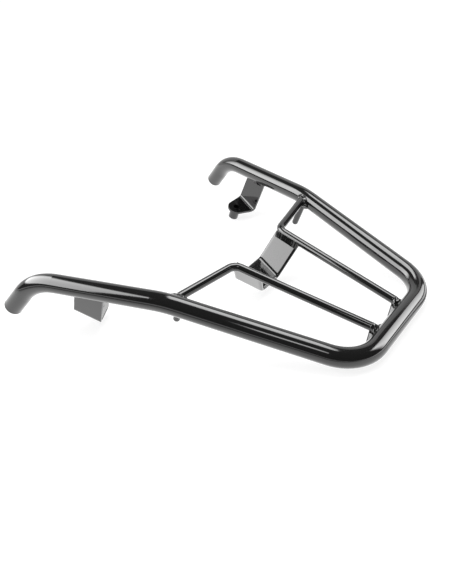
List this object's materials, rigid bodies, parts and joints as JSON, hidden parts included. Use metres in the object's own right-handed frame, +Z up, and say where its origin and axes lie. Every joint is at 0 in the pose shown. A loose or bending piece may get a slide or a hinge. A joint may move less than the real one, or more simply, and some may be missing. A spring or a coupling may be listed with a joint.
{
  "type": "luggage carrier",
  "caption": "Welded tubular luggage carrier for a scooter's tail: a bowed tube with arms that bend down in front, bed rods, a centre bracket, strap feet with bolt sleeves and cord pegs.",
  "frame": {"origin": "on the bench under the middle of the carrier, which rests on the lower rims of its sleeves and on its rear bar", "axes": "+Y to the vehicle's front, where the arms end, +X to its right, +Z up from the bench"},
  "size_m": [0.4144, 0.4078, 0.0767],
  "materials": {
    "tube_coat": "gloss black powder coat on bent steel tube",
    "rod_coat": "gloss black powder coat on round steel bar",
    "sheet_coat": "gloss black powder coat on steel sheet and turned sleeves",
    "weld_coat": "gloss black powder coat over rippled weld metal",
    "plug_plastic": "black moulded plastic"
  },
  "bodies": {
    "root": {"bed_rod_left": "rod_coat", "bed_rod_right": "rod_coat", "bolt_sleeve_left": "sheet_coat", "bolt_sleeve_right": "sheet_coat", "bracket_weld_left": "weld_coat", "bracket_weld_right": "weld_coat", "centre_bracket": "sheet_coat", "end_plug_left": "plug_plastic", "end_plug_right": "plug_plastic", "front_strap_left": "sheet_coat", "front_strap_right": "sheet_coat", "hook_peg_left": "rod_coat", "hook_peg_right": "rod_coat", "main_tube": "tube_coat", "peg_weld_left": "weld_coat", "peg_weld_right": "weld_coat", "rear_gusset_left": "sheet_coat", "rear_gusset_right": "sheet_coat", "rod_front_weld_left": "weld_coat", "rod_front_weld_right": "weld_coat", "rod_rear_weld_left": "weld_coat", "rod_rear_weld_right": "weld_coat", "sleeve_weld_left": "weld_coat", "sleeve_weld_right": "weld_coat", "strap_weld_left": "weld_coat", "strap_weld_right": "weld_coat"}
  },
  "joints": []
}
